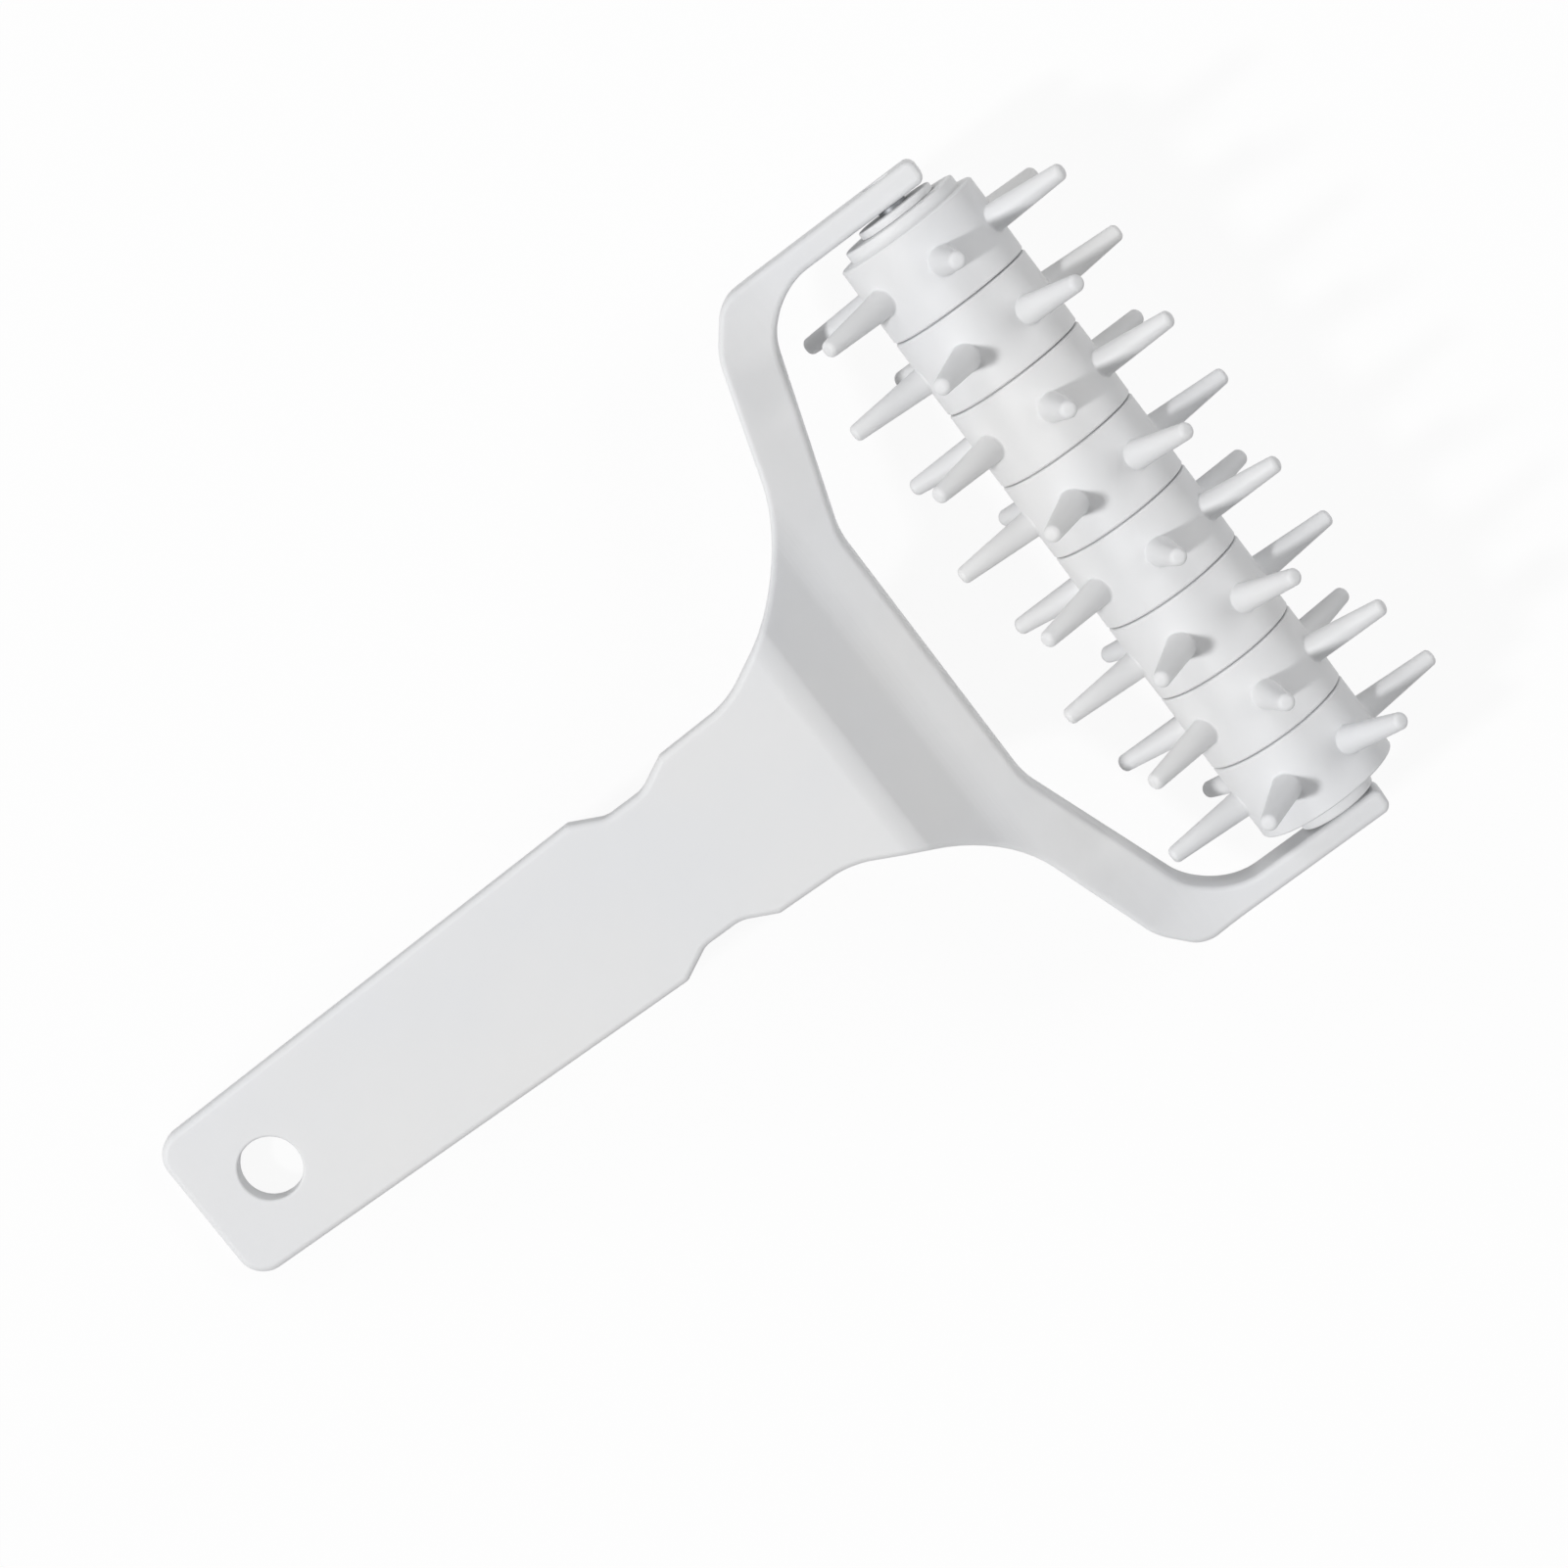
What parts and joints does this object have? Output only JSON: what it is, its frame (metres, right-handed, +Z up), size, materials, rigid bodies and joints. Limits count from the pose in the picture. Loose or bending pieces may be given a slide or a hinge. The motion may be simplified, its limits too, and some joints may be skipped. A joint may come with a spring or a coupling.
{
  "type": "dough docker",
  "caption": "Hand-held dough docker: a roller of spiked rings turning on a pin in a moulded fork, with a flat paddle handle that has finger grips and a hanging hole.",
  "frame": {"origin": "on the table, under the middle of the docker's length and width, as it lies on its lowest spikes and the end of its handle", "axes": "+X along the roller's axle, +Y from the handle's end towards the roller, +Z up from the table"},
  "size_m": [0.1302, 0.2098, 0.0533],
  "materials": {
    "white_plastic": "satin, as moulded",
    "pin_steel": "drawn bright"
  },
  "bodies": {
    "frame": {"handle_frame": "white_plastic", "axle_pin": "pin_steel"},
    "roller": {"drive_shaft": "white_plastic", "end_cap": "white_plastic", "ring_1": "white_plastic", "ring_2": "white_plastic", "ring_3": "white_plastic", "ring_4": "white_plastic", "ring_5": "white_plastic", "ring_6": "white_plastic", "ring_7": "white_plastic", "ring_8": "white_plastic"}
  },
  "joints": [
    {"name": "roller_spin", "type": "hinge", "parent": "frame", "child": "roller", "pos_m": [0, 0.07824, 0.02667], "axis": [1, 0, 0], "continuous": true}
  ]
}
